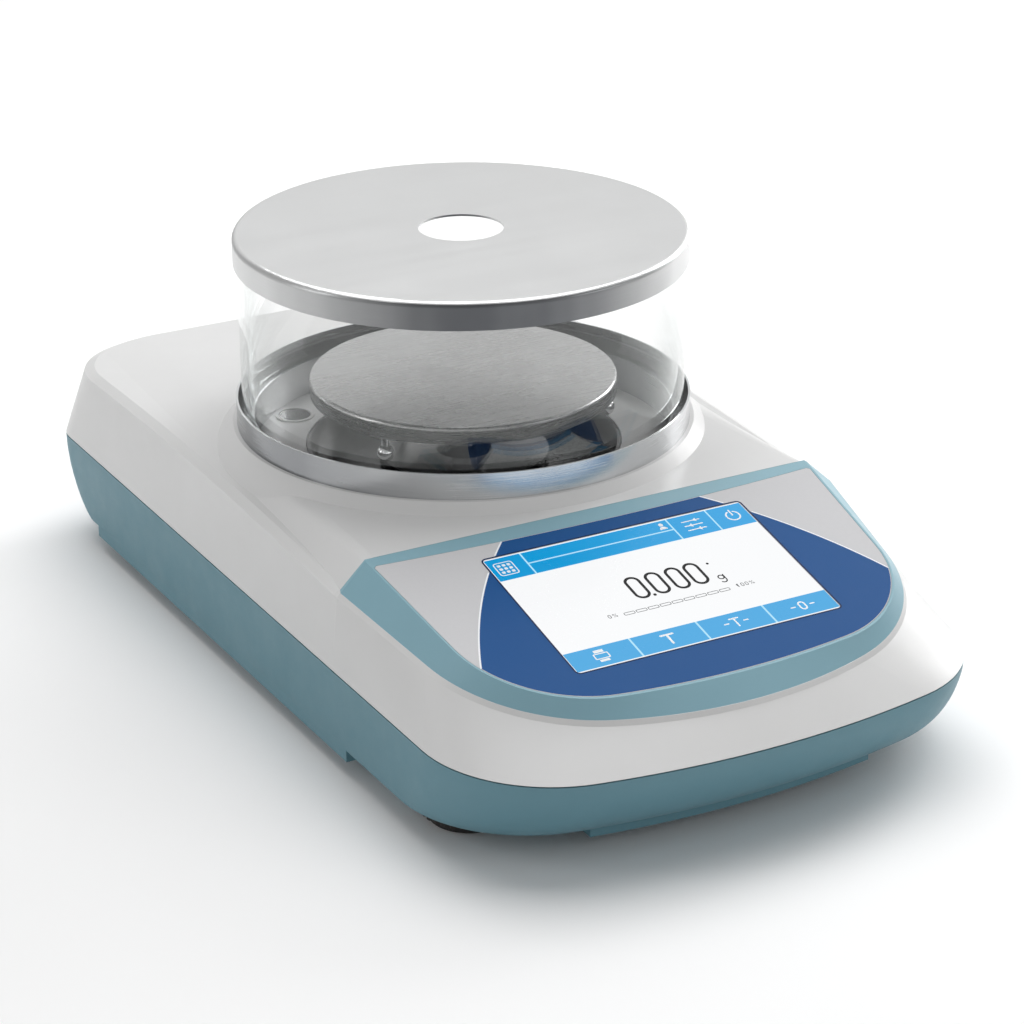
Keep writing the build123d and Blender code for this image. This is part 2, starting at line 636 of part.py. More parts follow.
with BuildPart() as serial_port:
    x, width, height = SOCKETS["serial_port"]
    with Locations((x, SOCKET_FACE, SOCKET_BASE)):
        Box(width, 22, height, align=BEHIND_FACE)
    with Locations((x, SOCKET_FACE, SOCKET_BASE + height / 2)):
        Box(19, 10, 9, mode=Mode.SUBTRACT)
        with GridLocations(2.8, 0, 5, 1):
            with Locations((0, -2.5, 1.4)):
                Cylinder(0.5, 5, rotation=(90, 0, 0))
        with GridLocations(2.8, 0, 4, 1):
            with Locations((0, -2.5, -1.4)):
                Cylinder(0.5, 5, rotation=(90, 0, 0))
save(serial_port.part, "serial_port")

with BuildPart() as usb_port:
    x, width, height = SOCKETS["usb_port"]
    with Locations((x, SOCKET_FACE, SOCKET_BASE)):
        Box(width, 22, height, align=BEHIND_FACE)
    with Locations((x, SOCKET_FACE, SOCKET_BASE + height / 2)):
        Box(8.5, 18, 7.8, mode=Mode.SUBTRACT)
    with Locations((x, SOCKET_FACE - 1, SOCKET_BASE + height / 2)):
        Box(5.6, 15, 3.2, align=(Align.CENTER, Align.MAX, Align.CENTER))
    with Locations((x, SOCKET_FACE - 16, SOCKET_BASE + height / 2)):
        Box(10, 2, 9, align=(Align.CENTER, Align.MIN, Align.CENTER))
save(usb_port.part, "usb_port")

with BuildPart() as power_inlet:
    x, width, height = SOCKETS["power_inlet"]
    with Locations((x, SOCKET_FACE, SOCKET_BASE)):
        Box(width, 22, height, align=BEHIND_FACE)
    with Locations((x, SOCKET_FACE, SOCKET_BASE + height / 2)):
        Cylinder(3.2, 18, rotation=(90, 0, 0), mode=Mode.SUBTRACT)
        with Locations((0, -5, 0)):
            Cylinder(1.0, 8, rotation=(90, 0, 0))
save(power_inlet.part, "power_inlet")

# ---------------------------------------------------------------- casing screws and levelling feet
with BuildPart() as casing_screws:
    for (x, y), top in BOSSES:
        with Locations((x, y, BOTTOM + 6)):
            Cylinder(3.2, 2.6, align=DOWNWARD)
            Cylinder(1.5, top - 8 - BOTTOM - 6, align=UPWARD)
save(casing_screws.part, "casing_screws")

for corner, (x, y) in FEET.items():
    with BuildPart() as foot_pad:
        with Locations((x, y, 0)):
            Cylinder(15, 2.6, align=UPWARD)
            Cylinder(3, 6, align=UPWARD)
    save(foot_pad.part, f"foot_pad_{corner}")

    with BuildPart() as foot_wheel:
        with BuildSketch(Plane.XY.offset(WHEEL_BOTTOM)):
            with Locations((x, y)):
                Circle(WHEEL_RADIUS)
                with PolarLocations(WHEEL_RADIUS + 0.7, 30):
                    Circle(1.3, mode=Mode.SUBTRACT)
        extrude(amount=WHEEL_TOP - WHEEL_BOTTOM)
        with Locations((x, y, WHEEL_TOP)):
            Cylinder(STUD_RADIUS, 15, align=UPWARD)
        with Locations((x, y, 0)):
            Cylinder(3.08, 6.3, align=UPWARD, mode=Mode.SUBTRACT)
    save(foot_wheel.part, f"foot_wheel_{corner}")
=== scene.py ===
"""Looks, light and camera for the laboratory balance with a round glass draft shield.

Every length is in metres in the row frame unless a name ends in _MM; sizes of drawn shapes are millimetres.
"""
from math import atan2, cos, degrees, hypot, pi, radians, sin, sqrt

import bmesh
import bpy
from mathutils import Matrix, Vector
from mathutils.geometry import tessellate_polygon


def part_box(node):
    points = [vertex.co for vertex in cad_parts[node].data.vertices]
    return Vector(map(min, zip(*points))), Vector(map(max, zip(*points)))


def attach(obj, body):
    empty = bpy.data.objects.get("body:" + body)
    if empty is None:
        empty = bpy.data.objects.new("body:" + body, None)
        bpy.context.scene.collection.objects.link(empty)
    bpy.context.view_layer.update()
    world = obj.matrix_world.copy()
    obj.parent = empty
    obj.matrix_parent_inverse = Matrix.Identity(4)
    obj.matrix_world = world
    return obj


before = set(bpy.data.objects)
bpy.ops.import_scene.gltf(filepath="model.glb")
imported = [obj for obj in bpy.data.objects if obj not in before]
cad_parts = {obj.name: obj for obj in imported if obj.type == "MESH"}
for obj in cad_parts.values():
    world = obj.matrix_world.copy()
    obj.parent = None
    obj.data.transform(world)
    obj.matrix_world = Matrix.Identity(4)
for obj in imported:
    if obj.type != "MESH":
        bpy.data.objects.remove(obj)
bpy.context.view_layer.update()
MM = 0.001


# ================================================================ places taken from the frame
def box_centre(node):
    """Centre of a CAD node's box."""
    low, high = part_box(node)
    return (Vector(low) + Vector(high)) / 2


PANEL_SLOPE = 0.23                       # rise over run of the display panel
station = box_centre("shield_ring")      # axis of pan and draft shield
screen_centre = box_centre("touch_glass")
panel_along = Vector((0, 1, PANEL_SLOPE)).normalized()
panel_up = Vector((0, -PANEL_SLOPE, 1)).normalized()
GLASS_THICK_MM, GLASS_SUNK_MM = 2.2, 0.1


def on_panel(x, y, lift=0.0):
    """Point of the display panel: millimetres from the screen's centre, lifted off the label plane."""
    rise = GLASS_THICK_MM / 2 + GLASS_SUNK_MM + lift
    return screen_centre + MM * (Vector((x, 0, 0)) + y * panel_along + rise * panel_up)


# ================================================================ materials
def tint(red, green, blue):
    """Linear colour from display values of 0 to 255."""
    def linear(value):
        value /= 255
        return value / 12.92 if value <= 0.04045 else ((value + 0.055) / 1.055) ** 2.4
    return (linear(red), linear(green), linear(blue), 1.0)


def shaded(colour, factor):
    """The colour made lighter or darker."""
    return (*(min(1.0, channel * factor) for channel in colour[:3]), 1.0)


def either_way(colour, amount):
    """The colour a little darker, and as much lighter."""
    return shaded(colour, 1 - amount), shaded(colour, 1 + amount)


class Finish:
    """A Principled material, with short ways to wire the nodes that give it its detail."""

    def __init__(self, name, roughness=0.4, metallic=0.0, **sockets):
        self.material = bpy.data.materials.new(name)
        self.material.use_nodes = True
        self.tree = self.material.node_tree
        self.shader = self.tree.nodes["Principled BSDF"]
        self.place = self.add("ShaderNodeTexCoord").outputs["Object"]
        self.shader.inputs["Roughness"].default_value = roughness
        self.shader.inputs["Metallic"].default_value = metallic
        for socket, value in sockets.items():
            self.shader.inputs[socket.replace("_", " ")].default_value = value

    def add(self, kind, **inputs):
        node = self.tree.nodes.new(kind)
        for socket, value in inputs.items():
            node.inputs[socket].default_value = value
        return node

    def wire(self, source, target):
        self.tree.links.new(source, target)

    def math(self, operation, first, second=0.0):
        node = self.add("ShaderNodeMath")
        node.operation = operation
        for socket, value in zip(node.inputs, (first, second)):
            if isinstance(value, (int, float)):
                socket.default_value = value
            else:
                self.wire(value, socket)
        return node.outputs[0]

    def stretched(self, scale, turn=0.0, centre=(0, 0, 0), place=None):
        """Coordinates turned about Z, then scaled by three factors."""
        node = self.add("ShaderNodeMapping", Location=centre, Scale=scale, Rotation=(0, 0, turn))
        self.wire(place or self.place, node.inputs["Vector"])
        return node.outputs[0]

    def noise(self, scale, detail=2.0, roughness=0.5, place=None):
        node = self.add("ShaderNodeTexNoise", Scale=scale, Detail=detail, Roughness=roughness)
        self.wire(place or self.place, node.inputs["Vector"])
        return node.outputs["Fac"]

    def span(self, value, low, high, start=0.0, end=1.0):
        """The value's range from start to end, remapped to low..high."""
        node = self.add("ShaderNodeMapRange")
        self.wire(value, node.inputs["Value"])
        for socket, number in (("From Min", start), ("From Max", end), ("To Min", low), ("To Max", high)):
            node.inputs[socket].default_value = number
        return node.outputs[0]

    def blend(self, factor, first, second):
        node = self.add("ShaderNodeMix")
        node.data_type = "RGBA"
        sockets = [socket for socket in node.inputs if socket.type == "RGBA"]
        for socket, colour in zip(sockets, (first, second)):
            if isinstance(colour, tuple):
                socket.default_value = colour
            else:
                self.wire(colour, socket)
        self.wire(factor, node.inputs[0])
        return next(socket for socket in node.outputs if socket.type == "RGBA")

    def mix(self, factor, first, second):
        """A number that goes from first to second."""
        node = self.add("ShaderNodeMix")
        for value, socket in zip((factor, first, second), (node.inputs[0], node.inputs[2], node.inputs[3])):
            self.wire(value, socket)
        return node.outputs[0]

    def colour(self, source):
        self.wire(source, self.shader.inputs["Base Color"])
        return self

    def rough(self, source):
        self.wire(source, self.shader.inputs["Roughness"])
        return self

    def bump(self, height, distance, strength=1.0):
        node = self.add("ShaderNodeBump", Strength=strength, Distance=distance)
        self.wire(height, node.inputs["Height"])
        self.wire(node.outputs[0], self.shader.inputs["Normal"])
        return self

    def polar(self, centre):
        """Coordinates of radius, angle and height about a vertical axis."""
        split = self.add("ShaderNodeSeparateXYZ")
        self.wire(self.place, split.inputs[0])
        east = self.math("SUBTRACT", split.outputs[0], centre.x)
        north = self.math("SUBTRACT", split.outputs[1], centre.y)
        squares = (self.math("MULTIPLY", side, side) for side in (east, north))
        radius = self.math("SQRT", self.math("ADD", *squares))
        angle = self.math("ARCTAN2", north, east)
        joined = self.add("ShaderNodeCombineXYZ")
        for socket, value in zip(joined.inputs, (radius, angle, split.outputs[2])):
            self.wire(value, socket)
        return joined.outputs[0]


def moulded(name, colour, roughness, grain=2600, depth=0.00003, mottle=0.05, coat=0.0):
    """Injection-moulded plastic: spark-eroded grain, faint flow mottling and handling marks in the gloss."""
    finish = Finish(name, roughness, Coat_Weight=coat, Coat_Roughness=0.12)
    flow = finish.noise(22, 4, 0.6)
    dust = finish.noise(420, 3, 0.7)
    mixed = finish.math("MULTIPLY_ADD", flow, 0.75)
    finish.wire(finish.math("MULTIPLY", dust, 0.25), mixed.node.inputs[2])
    finish.colour(finish.blend(mixed, *either_way(colour, mottle)))
    finish.rough(finish.span(finish.noise(60, 5, 0.65), roughness - 0.06, roughness + 0.07, 0.3, 0.7))
    finish.bump(finish.noise(grain, 2, 0.6), depth)
    return finish.material


def brushed(name, colour, roughness, strokes, depth=0.00002, contrast=0.1, painted_reflection=0.0, phase=0.0):
    """Steel brushed along the direction in which the stroke coordinates are least stretched.

    The upright faces round the station's axis darken towards a dark colour on the two sides that phase points
    to, as a painted dark reflection of the surroundings; the argument before phase sets how far.
    """
    finish = Finish(name, roughness, 1.0)
    place = strokes(finish)
    fine = finish.noise(1.0, 3, 0.75, place)
    wide = finish.noise(0.16, 2, 0.6, place)
    both = finish.math("ADD", finish.math("MULTIPLY", fine, 0.6), finish.math("MULTIPLY", wide, 0.4))
    if painted_reflection:
        round_axis = finish.polar(station)
        facing = finish.add("ShaderNodeSeparateXYZ")
        finish.wire(finish.add("ShaderNodeNewGeometry").outputs["Normal"], facing.inputs[0])
        upright = finish.math("LESS_THAN", facing.outputs[2], 0.6)
        around = finish.noise(1.0, 3, 0.6, finish.stretched((300, 3, 2400), place=round_axis))
        both = finish.mix(upright, both, around)
    tone = finish.blend(finish.span(both, 0, 1, 0.3, 0.7), *either_way(colour, contrast))
    # painted reflection: upright faces darken on two sides of the axis, with a wavering streak, towards a
    # near-black colour standing in for dark surroundings mirrored in the steel
    if painted_reflection:
        angle = finish.add("ShaderNodeSeparateXYZ")
        finish.wire(round_axis, angle.inputs[0])
        turned = finish.math("MULTIPLY", finish.math("SUBTRACT", angle.outputs[1], phase), 2.0)
        wave = finish.math("MULTIPLY", finish.math("COSINE", turned), 0.3)
        streak = finish.noise(1.0, 3, 0.55, finish.stretched((0, 2.3, 4), place=round_axis))
        streak = finish.span(streak, 0.4, 0.6)
        painted_reflection_mask = finish.span(finish.math("ADD", wave, streak), 0, painted_reflection, 0.35, 0.8)
        tone = finish.blend(finish.math("MULTIPLY", painted_reflection_mask, upright), tone, (0.05, 0.055, 0.065, 1))
    finish.colour(tone)
    smudge = finish.noise(35, 4, 0.6)
    grain = finish.span(both, -0.05, 0.06, 0.3, 0.7)
    finish.rough(finish.math("ADD", grain, finish.span(smudge, roughness - 0.03, roughness + 0.04, 0.3, 0.7)))
    finish.bump(both, depth)
    return finish.material


def straight_strokes(turn):
    """Stroke coordinates for straight brushing, turned about Z."""
    return lambda finish: finish.stretched((14, 2600, 2600), turn)


def round_strokes(centre):
    """Stroke coordinates for brushing that runs round a vertical axis."""
    return lambda finish: finish.stretched((2600, 3, 2600), place=finish.polar(centre))


def plain_metal(name, colour, roughness, grain=900):
    """Machined or plated metal: fine pitting and a varying gloss."""
    finish = Finish(name, roughness, 1.0)
    pits = finish.noise(grain, 4, 0.7)
    finish.colour(finish.blend(pits, shaded(colour, 0.88), shaded(colour, 1.08)))
    finish.rough(finish.span(finish.noise(120, 3), roughness * 0.75, roughness * 1.3, 0.3, 0.7))
    finish.bump(pits, 0.00001)
    return finish.material


def clear(name, colour, roughness=0.0, ior=1.5):
    """Clear glass: faint ripple from drawing, and traces of wiping in the gloss."""
    finish = Finish(name, roughness, Transmission_Weight=1.0, IOR=ior)
    finish.colour(finish.blend(finish.noise(30, 3), shaded(colour, 0.985), colour))
    finish.rough(finish.span(finish.noise(25, 5, 0.7), roughness, roughness + 0.02, 0.55, 0.75))
    finish.bump(finish.noise(9, 2), 0.00004, 0.4)
    return finish.material


def thin_glass(name, colour):
    """Thin clear glass: light passes straight through, and it mirrors more towards grazing angles."""
    finish = Finish(name, 0.01, 1.0)
    finish.colour(finish.blend(finish.noise(30, 3), shaded(colour, 0.985), colour))
    facing = finish.add("ShaderNodeLayerWeight", Blend=0.5).outputs["Facing"]
    mirror = finish.span(finish.math("POWER", facing, 4.0), 0.05, 0.95)
    wiping = finish.span(finish.noise(25, 5, 0.7), 0.0, 0.025, 0.5, 0.75)
    finish.wire(finish.math("ADD", mirror, wiping), finish.shader.inputs["Alpha"])
    finish.rough(finish.span(finish.noise(25, 5, 0.7), 0.0, 0.05, 0.5, 0.75))
    return finish.material


def rubbery(name, colour, roughness=0.75):
    """Moulded rubber: matt, with a coarse skin and paler scuffs."""
    finish = Finish(name, roughness)
    scuff = finish.span(finish.noise(260, 5, 0.75), 0, 1, 0.5, 0.72)
    finish.colour(finish.blend(scuff, colour, shaded(colour, 2.2)))
    finish.bump(finish.noise(1500, 3, 0.7), 0.00006)
    return finish.material


def circuit_board(name, colour):
    """Solder mask over a grid of tracks."""
    finish = Finish(name, 0.35, Specular_IOR_Level=0.6)
    tracks = finish.add("ShaderNodeTexBrick", Scale=240.0)
    tracks.inputs["Mortar Size"].default_value = 0.06
    finish.wire(finish.place, tracks.inputs["Vector"])
    finish.colour(finish.blend(tracks.outputs["Fac"], colour, shaded(colour, 2.0)))
    finish.bump(tracks.outputs["Fac"], 0.00003)
    return finish.material


def wound(name, colour):
    """Enamelled wire, turn on turn round a vertical axis, with painted shade darkening the grooves between
    turns.
    """
    finish = Finish(name, 0.3, 0.9)
    turns = finish.add("ShaderNodeTexWave", Scale=700.0, Distortion=0.3)
    turns.bands_direction = "Z"
    finish.wire(finish.place, turns.inputs["Vector"])
    # painted shade: the wire colour drops to 0.4 between turns, where the grooves lie in shadow
    finish.colour(finish.blend(turns.outputs["Fac"], shaded(colour, 0.4), colour))
    finish.bump(turns.outputs["Fac"], 0.0001)
    return finish.material


def film(name, colour, roughness=0.42, mottle=0.03):
    """Printed polyester label film with a fine matt texture."""
    finish = Finish(name, roughness, Specular_IOR_Level=0.12)
    finish.colour(finish.blend(finish.noise(900, 3, 0.7), *either_way(colour, mottle)))
    finish.rough(finish.span(finish.noise(40, 4), roughness - 0.05, roughness + 0.06, 0.3, 0.7))
    finish.bump(finish.noise(4200, 2, 0.6), 0.00002)
    return finish.material


def lit(name, colour, strength=1.0, second=None):
    """A lit patch of the display under its glass; second is the colour that it fades to across the screen."""
    finish = Finish(name, 0.28, Base_Color=(0.004, 0.004, 0.005, 1), Emission_Strength=strength,
                    Specular_IOR_Level=0.12)
    finish.rough(finish.span(finish.noise(28, 5, 0.7), 0.22, 0.34, 0.35, 0.7))
    cells = finish.noise(5200, 1)
    glow = finish.blend(cells, shaded(colour, 0.975), shaded(colour, 1.0))
    if second:
        split = finish.add("ShaderNodeSeparateXYZ")
        finish.wire(finish.place, split.inputs[0])
        across = finish.span(split.outputs[0], 0, 1, -0.03, 0.05)
        glow = finish.blend(across, glow, second)
    finish.wire(glow, finish.shader.inputs["Emission Color"])
    return finish.material


WHITE = moulded("white_moulding", (0.64, 0.64, 0.638, 1), 0.36, mottle=0.02, coat=0.08)
TEAL = moulded("teal_moulding", (0.105, 0.235, 0.287, 1), 0.45)
BEZEL = moulded("bezel_moulding", (0.215, 0.385, 0.455, 1), 0.42)
BLACK = moulded("black_moulding", (0.008, 0.008, 0.009, 1), 0.16, grain=700, depth=0.00001, mottle=0.3)
DARK = moulded("dark_moulding", (0.02, 0.02, 0.021, 1), 0.45, mottle=0.2)
FOOT = moulded("foot_moulding", (0.022, 0.014, 0.011, 1), 0.5, mottle=0.25)
RUBBER = rubbery("black_rubber", (0.018, 0.017, 0.017, 1))
# lid, ring and pan steel: the darkening on their upright faces is a painted dark reflection, turned to where
# phase points
LID_STEEL = brushed("lid_steel", (0.63, 0.635, 0.635, 1), 0.34, straight_strokes(radians(12)), contrast=0.03,
                    painted_reflection=0.85, phase=radians(-112))
RING_STEEL = brushed("ring_steel", (0.64, 0.65, 0.66, 1), 0.22, round_strokes(station), contrast=0.05,
                     painted_reflection=0.6, phase=radians(-172))
PAN_STEEL = brushed("pan_steel", (0.43, 0.43, 0.43, 1), 0.26, straight_strokes(radians(3)), contrast=0.16,
                    painted_reflection=0.6, phase=radians(-70))
POLISHED = plain_metal("polished_steel", (0.7, 0.7, 0.71, 1), 0.06)
ZINC = plain_metal("zinc_plate", (0.55, 0.56, 0.57, 1), 0.3)
ALUMINIUM = plain_metal("machined_aluminium", (0.62, 0.63, 0.65, 1), 0.35)
NICKEL = plain_metal("nickel_plate", (0.4, 0.4, 0.39, 1), 0.25)
GLASS = thin_glass("shield_glass_clear", (0.93, 0.96, 0.95, 1))
LENS = clear("vial_lens_clear", (0.98, 1.0, 0.98, 1))
FLUID = clear("vial_fluid", (0.72, 0.78, 0.55, 1), ior=1.4)
BOARD = circuit_board("board_mask", (0.015, 0.11, 0.045, 1))
COIL = wound("coil_wire", (0.6, 0.26, 0.12, 1))
LABEL_GREY = film("label_grey", tint(196, 196, 198))
LABEL_BLUE = film("label_blue", tint(24, 78, 136))
LABEL_WHITE = film("label_white", tint(236, 238, 240))
LABEL_NAVY = film("label_navy", tint(22, 40, 78))
SCREEN_WHITE = lit("screen_white", (0.93, 0.94, 0.95, 1))
SCREEN_CYAN = lit("screen_cyan", tint(0, 152, 214), second=tint(58, 164, 224))
SCREEN_BLUE = lit("screen_blue", tint(72, 168, 224))
SCREEN_LINE = lit("screen_line", tint(176, 226, 248))
SCREEN_INK = lit("screen_ink", tint(8, 9, 10), 0.6)
SCREEN_GREY = lit("screen_grey", tint(96, 98, 100), 0.8)

NODE_FINISH = {
    "upper_casing": WHITE, "lower_casing": TEAL, "display_bezel": BEZEL, "front_label": LABEL_GREY,
    "touch_glass": SCREEN_WHITE, "lcd_module": DARK, "display_board": BOARD, "display_screws": ZINC,
    "shield_ring": RING_STEEL, "shield_glass": GLASS, "glass_seal": DARK, "shield_lid": LID_STEEL,
    "weighing_pan": PAN_STEEL, "pan_support": ALUMINIUM, "pan_cushions": RUBBER, "ball_studs": POLISHED,
    "pan_dish": BLACK, "level_vial": FLUID, "vial_lens": LENS, "chassis_plate": ALUMINIUM,
    "chassis_screws": ZINC, "cell_frame": ALUMINIUM, "cell_screws": ZINC, "beam_pivot_pin": POLISHED,
    "magnet_pot": NICKEL, "force_beam": ALUMINIUM, "force_coil": COIL, "load_spigot": POLISHED,
    "main_board": BOARD, "board_standoffs": ZINC, "rear_panel": DARK, "serial_port": NICKEL,
    "usb_port": NICKEL, "power_inlet": DARK, "casing_screws": ZINC,
}
for name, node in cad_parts.items():
    if name in NODE_FINISH:
        finish = NODE_FINISH[name]
    else:
        finish = RUBBER if name.startswith("foot_pad") else FOOT
    node.data.materials.clear()
    node.data.materials.append(finish)


# ================================================================ mesh tools
def finished(name, mesh, material, body):
    """A new piece that rides on a body."""
    mesh.materials.append(material)
    piece = bpy.data.objects.new(name, mesh)
    bpy.context.scene.collection.objects.link(piece)
    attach(piece, body)
    return piece


def area_of(loop):
    """Signed area of a closed loop of points."""
    return sum(a[0] * b[1] - b[0] * a[1] for a, b in zip(loop, loop[1:] + loop[:1])) / 2


def add_prism(bm, loops, place, low, high):
    """Adds a closed prism to bm. loops are an outline and its holes, and place maps (x, y, height) to space."""
    loops = [list(loop) for loop in loops]
    loops = [loop if (area_of(loop) > 0) == (i == 0) else loop[::-1] for i, loop in enumerate(loops)]
    flat = [point for loop in loops for point in loop]
    bottom = [bm.verts.new(place(x, y, low)) for x, y in flat]
    top = [bm.verts.new(place(x, y, high)) for x, y in flat]
    for a, b, c in tessellate_polygon([[Vector((x, y, 0)) for x, y in loop] for loop in loops]):
        bm.faces.new((top[a], top[b], top[c]))
        bm.faces.new((bottom[c], bottom[b], bottom[a]))
    start = 0
    for loop in loops:
        count = len(loop)
        for i in range(count):
            j = (i + 1) % count
            bm.faces.new((bottom[start + i], bottom[start + j], top[start + j], top[start + i]))
        start += count


def prisms(name, shapes, place, low, high, material, body):
    """One piece made of several closed prisms, each an outline with its holes."""
    bm = bmesh.new()
    for loops in shapes:
        add_prism(bm, loops, place, low, high)
    bmesh.ops.recalc_face_normals(bm, faces=bm.faces)
    mesh = bpy.data.meshes.new(name)
    bm.to_mesh(mesh)
    bm.free()
    return finished(name, mesh, material, body)


def lathe(name, profile, centre, material, body, segments=96):
    """A closed profile of (radius, height) turned about a vertical axis through centre."""
    bm = bmesh.new()
    rings = []
    for i in range(segments):
        angle = 2 * pi * i / segments
        rings.append([bm.verts.new(centre + Vector((r * cos(angle), r * sin(angle), z))) for r, z in profile])
    count = len(profile)
    for i, ring in enumerate(rings):
        following = rings[(i + 1) % segments]
        for j in range(count):
            k = (j + 1) % count
            bm.faces.new((ring[j], following[j], following[k], ring[k]))
    bmesh.ops.remove_doubles(bm, verts=bm.verts, dist=1e-7)
    bmesh.ops.dissolve_degenerate(bm, edges=bm.edges, dist=1e-8)
    bmesh.ops.recalc_face_normals(bm, faces=bm.faces)
    mesh = bpy.data.meshes.new(name)
    bm.to_mesh(mesh)
    bm.free()
    for polygon in mesh.polygons:
        polygon.use_smooth = True
    return finished(name, mesh, material, body)


def rectangle(x, y, width, height, corner=0.0, steps=5):
    """Outline of a rectangle centred on x, y, with round corners if asked."""
    half_w, half_h = width / 2 - corner, height / 2 - corner
    if corner == 0:
        return [(x + i * half_w, y + j * half_h) for i, j in ((-1, -1), (1, -1), (1, 1), (-1, 1))]
    points = []
    for sx, sy, start in ((1, -1, -90), (1, 1, 0), (-1, 1, 90), (-1, -1, 180)):
        for i in range(steps + 1):
            angle = radians(start + 90 * i / steps)
            points.append((x + sx * half_w + corner * cos(angle), y + sy * half_h + corner * sin(angle)))
    return points


def disc(x, y, radius, steps=24):
    """Outline of a circle."""
    return [(x + radius * cos(2 * pi * i / steps), y + radius * sin(2 * pi * i / steps)) for i in range(steps)]


def stroke(points, width, steps=6):
    """Outline of a round-ended line through points."""
    sides = ([], [])
    half = width / 2
    last = len(points) - 1
    for i, (x, y) in enumerate(points):
        ax, ay = points[max(i - 1, 0)]
        bx, by = points[min(i + 1, last)]
        length = hypot(bx - ax, by - ay)
        nx, ny = -(by - ay) / length * half, (bx - ax) / length * half
        sides[0].append((x + nx, y + ny))
        sides[1].append((x - nx, y - ny))

    def cap(end, before):
        start = atan2(end[1] - before[1], end[0] - before[0]) + pi / 2
        turns = [start - pi * i / steps for i in range(1, steps)]
        return [(end[0] + half * cos(turn), end[1] + half * sin(turn)) for turn in turns]
    return sides[0] + cap(points[-1], points[-2]) + sides[1][::-1] + cap(points[0], points[1])


def arc(x, y, radius, start, end, steps=20):
    """Points of a circular arc, in degrees."""
    turns = [radians(start + (end - start) * i / steps) for i in range(steps + 1)]
    return [(x + radius * cos(turn), y + radius * sin(turn)) for turn in turns]


# ================================================================ printed front label
LABEL_PRINT_MM = 0.03                    # how far the print stands off the film
WINDOW_W_MM, WINDOW_H_MM = 108.8, 70.4
WINDOW_CORNER_MM = 1.6
FRAME_MM = 0.65                          # dark line round the window


def arc_through(a, b, c, steps):
    """Points of the circular arc from a to c through b."""
    ax, ay, bx, by, cx, cy = *a, *b, *c
    d = 2 * (ax * (by - cy) + bx * (cy - ay) + cx * (ay - by))
    a2, b2, c2 = ax * ax + ay * ay, bx * bx + by * by, cx * cx + cy * cy
    ox = (a2 * (by - cy) + b2 * (cy - ay) + c2 * (ay - by)) / d
    oy = (a2 * (cx - bx) + b2 * (ax - cx) + c2 * (bx - ax)) / d
    radius = hypot(ax - ox, ay - oy)
    start, end = atan2(ay - oy, ax - ox), atan2(cy - oy, cx - ox)
    turn = (end - start + pi) % (2 * pi) - pi
    angles = [start + turn * i / steps for i in range(steps + 1)]
    return [(ox + radius * cos(angle), oy + radius * sin(angle)) for angle in angles]


LABEL_SIDE = ((92.5, 44.5), (83.2, -59.2))     # the label's raked side, relative to the screen's centre
LABEL_NOSE, LABEL_BOW, LABEL_CORNER = -53.5, 340.0, 48.0
FIELD_TOP, FIELD_MID = (42.0, 43.0), (66.0, 13.0)   # flared side of the blue field
FIELD_FOOT_ANGLE = -22.0                   # where that side meets the label's round corner
FIELD_BACK = 42.45                       # middle of the field's hollow rear edge
EDGE = 0.25                              # unprinted margin at the label's edge


def mirrored(points):
    return [(-x, y) for x, y in reversed(points)]


def corner_centre():
    """Centre of the label's round lower right corner: inside the raked side and the bowed nose."""
    (ax, ay), (bx, by) = LABEL_SIDE
    length = hypot(bx - ax, by - ay)
    ux, uy = (bx - ax) / length, (by - ay) / length
    ax, ay = ax + uy * LABEL_CORNER, ay - ux * LABEL_CORNER
    oy = LABEL_NOSE + LABEL_BOW
    reach = LABEL_BOW - LABEL_CORNER
    half_b = ax * ux + (ay - oy) * uy
    along = -half_b + sqrt(half_b**2 - (ax**2 + (ay - oy) ** 2 - reach**2))
    return ax + along * ux, ay + along * uy


CORNER_X, CORNER_Y = corner_centre()


def label_foot(start_angle):
    """The label's edge from an angle on its right round corner, round the nose to the same place at left."""
    nose_angle = degrees(atan2(CORNER_Y - LABEL_NOSE - LABEL_BOW, CORNER_X))
    corner = arc(CORNER_X, CORNER_Y, LABEL_CORNER - EDGE, start_angle, nose_angle, 16)
    nose = arc(0, LABEL_NOSE + LABEL_BOW, LABEL_BOW - EDGE, nose_angle, -180 - nose_angle, 24)[1:-1]
    return corner + nose + mirrored(corner)


def field_side(grow=0.0, steps=60):
    """Flared right side of the blue field, from the label's rear edge to its round corner."""
    foot = arc(CORNER_X, CORNER_Y, LABEL_CORNER - EDGE, FIELD_FOOT_ANGLE, FIELD_FOOT_ANGLE, 1)[0]
    return arc_through((FIELD_TOP[0] + grow, FIELD_TOP[1]), (FIELD_MID[0] + grow, FIELD_MID[1]), foot, steps)


def outside_window(points, margin):
    """The points behind the window, and those beside and in front of it."""
    half_w, half_h = WINDOW_W_MM / 2 + margin, WINDOW_H_MM / 2 + margin
    return [p for p in points if p[1] > half_h], [p for p in points if p[0] > half_w and p[1] < half_h]


